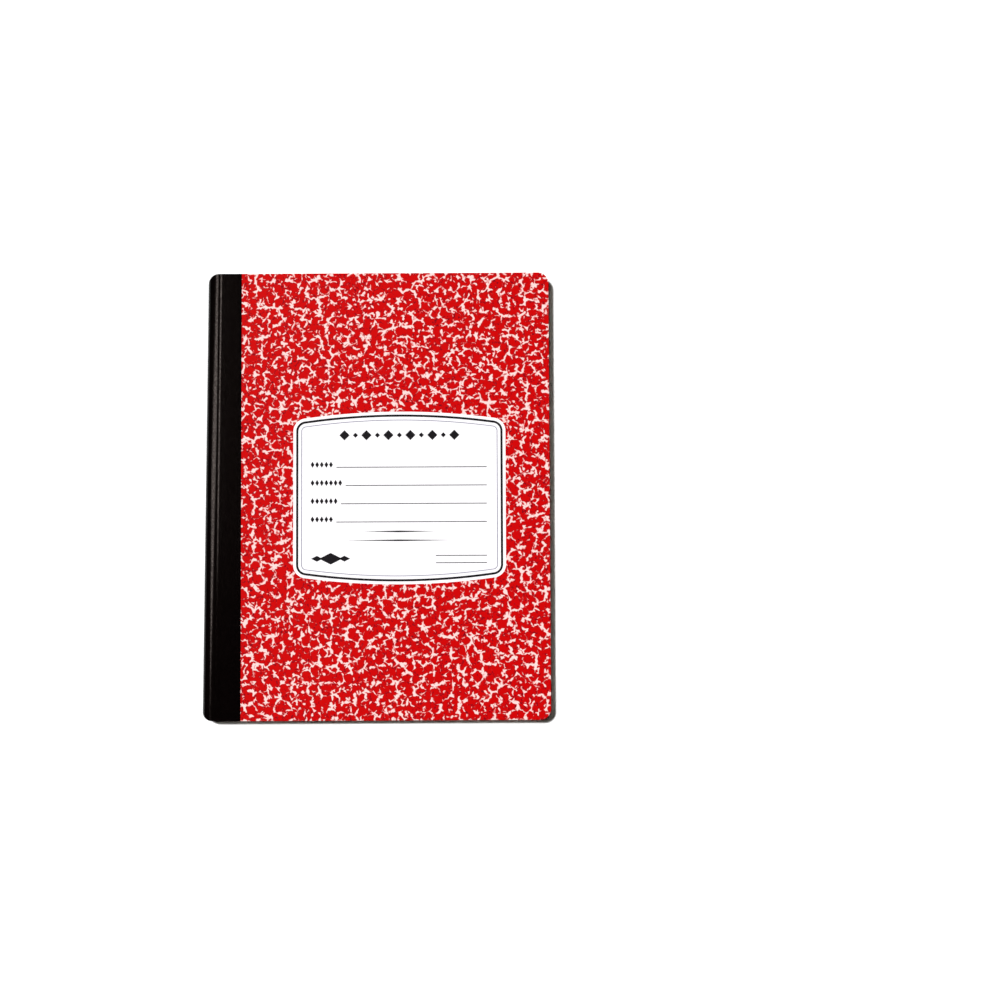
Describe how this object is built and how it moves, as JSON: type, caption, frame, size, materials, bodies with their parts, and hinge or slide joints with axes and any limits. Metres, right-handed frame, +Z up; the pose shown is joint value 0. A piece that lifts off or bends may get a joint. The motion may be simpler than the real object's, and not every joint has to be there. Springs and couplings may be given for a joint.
{
  "type": "composition notebook",
  "caption": "Sewn notebook with red marbled card covers, a black cloth tape over the fold and a framed white label on the front.",
  "frame": {"origin": "centre of the closed book's footprint, on the surface that its back cover lies on", "axes": "+X from the fold to the fore edge, +Y from the tail to the head of the cover, +Z up through the thickness, out of the front cover"},
  "size_m": [0.1916, 0.2476, 0.0108],
  "materials": {
    "paper": "uncoated",
    "thread": "twisted cotton",
    "cover_card": "printed, satin",
    "spine_cloth": "coated cloth, grained",
    "label_white": "printed, satin",
    "label_black": "printing ink",
    "label_grey": "printing ink",
    "marbling_white": "printing ink"
  },
  "bodies": {
    "book_block": {"page_block": "paper", "binding_thread": "thread", "card_fold": "cover_card", "spine_tape": "spine_cloth"},
    "front_board": {"front_cover": "cover_card", "front_tape": "spine_cloth", "label_panel": "label_white", "label_border": "label_black", "label_hairline": "label_grey", "label_rules": "label_grey", "label_ornaments": "label_black", "front_marbling": "marbling_white"},
    "back_board": {"back_cover": "cover_card", "back_tape": "spine_cloth"}
  },
  "joints": [
    {"name": "front_cover_crease", "type": "hinge", "parent": "book_block", "child": "front_board", "pos_m": [-0.0865, 0, 0.0108], "axis": [-0.0097, -1, 0], "range_deg": [0, 180]},
    {"name": "back_cover_crease", "type": "hinge", "parent": "book_block", "child": "back_board", "pos_m": [-0.0865, 0, 0], "axis": [0.0097, 1, 0], "range_deg": [0, 180]}
  ]
}
